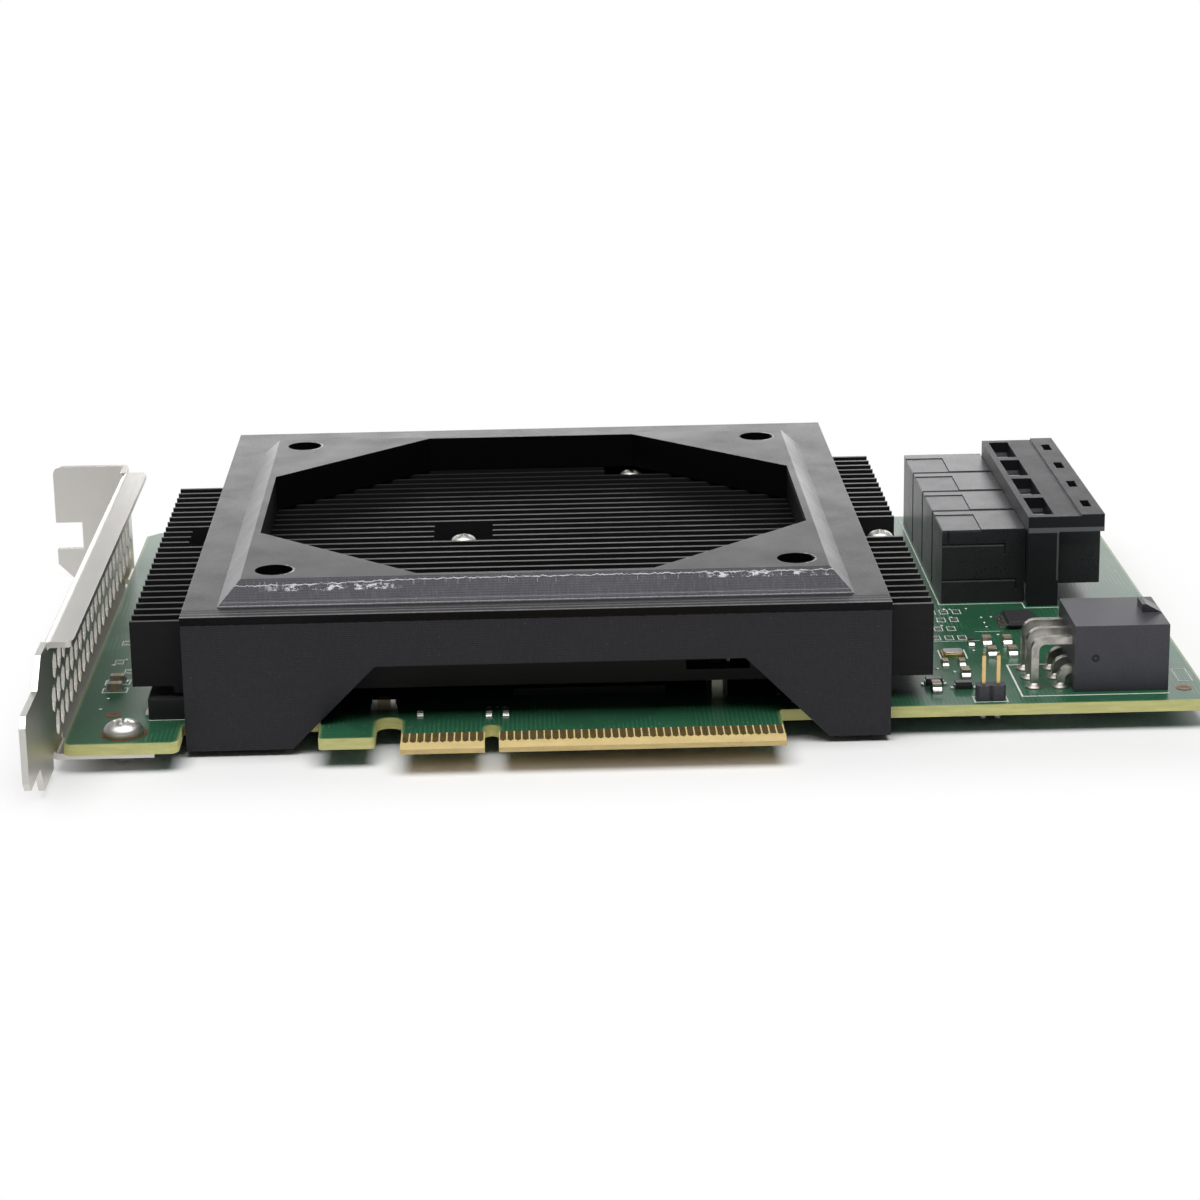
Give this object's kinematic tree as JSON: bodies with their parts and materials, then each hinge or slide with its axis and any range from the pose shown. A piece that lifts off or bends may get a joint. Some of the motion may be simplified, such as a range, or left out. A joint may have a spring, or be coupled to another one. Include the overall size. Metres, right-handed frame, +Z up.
{
  "type": "host bus adapter",
  "caption": "Full-height expansion card with a vented bracket, finned heatsink under a printed fan shroud, ganged drive ports and a power inlet.",
  "frame": {"origin": "middle of the key notch, at the tip of the edge contacts, on the board's solder face", "axes": "+X along the card from the bracket to the free end, +Y from the edge contacts to the top edge, +Z up out of the component side"},
  "size_m": [0.1691, 0.1312, 0.023],
  "materials": {
    "board_mask": "dark green solder mask over glass laminate",
    "gold_plate": "thin gold plate, slightly dulled",
    "bracket_steel": "plated sheet steel, satin",
    "screw_steel": "bright plated steel",
    "black_anodised": "black anodised, worn bright along the fin tops",
    "spring_steel": "plain spring wire",
    "tinned_metal": "dull tin plate",
    "chip_mould": "moulded black",
    "pad_grey": "soft grey pad",
    "printed_black": "printed black plastic, satin with fine layer lines",
    "connector_black": "moulded black, slightly glossy",
    "contact_block_black": "moulded black",
    "crystal_metal": "bright metal lid",
    "choke_grey": "moulded dark grey",
    "ceramic_brown": "brown ceramic",
    "resistor_black": "black film on ceramic"
  },
  "bodies": {
    "root": {"bracket_screws": "screw_steel", "bridge_chip": "chip_mould", "bridge_chip_pad": "pad_grey", "capacitor_bodies": "ceramic_brown", "capacitor_terminals": "tinned_metal", "circuit_board": "board_mask", "controller_chip_1": "chip_mould", "controller_chip_1_pad": "pad_grey", "controller_chip_2": "chip_mould", "controller_chip_2_pad": "pad_grey", "crystal_base": "gold_plate", "crystal_lid": "crystal_metal", "drive_port_1": "connector_black", "drive_port_2": "connector_black", "drive_port_3": "connector_black", "drive_port_4": "connector_black", "edge_contacts_back": "gold_plate", "edge_contacts_front": "gold_plate", "fan_shroud": "printed_black", "heatsink": "black_anodised", "heatsink_screws": "screw_steel", "heatsink_springs": "spring_steel", "heatsink_standoffs": "tinned_metal", "interface_chip": "chip_mould", "interface_chip_leads": "tinned_metal", "jumper_base": "connector_black", "jumper_pin_1": "gold_plate", "jumper_pin_2": "gold_plate", "mounting_bracket": "bracket_steel", "port_contact_block_1": "contact_block_black", "port_contact_block_2": "contact_block_black", "port_contact_block_3": "contact_block_black", "port_contact_block_4": "contact_block_black", "port_cover": "connector_black", "power_choke": "choke_grey", "power_housing": "connector_black", "power_pin_1": "tinned_metal", "power_pin_2": "tinned_metal", "power_pin_3": "tinned_metal", "power_pin_4": "tinned_metal", "power_pin_5": "tinned_metal", "power_pin_6": "tinned_metal", "resistor_bodies": "resistor_black", "resistor_terminals": "tinned_metal", "signal_diode_1": "chip_mould", "signal_diode_2": "chip_mould"}
  },
  "joints": []
}
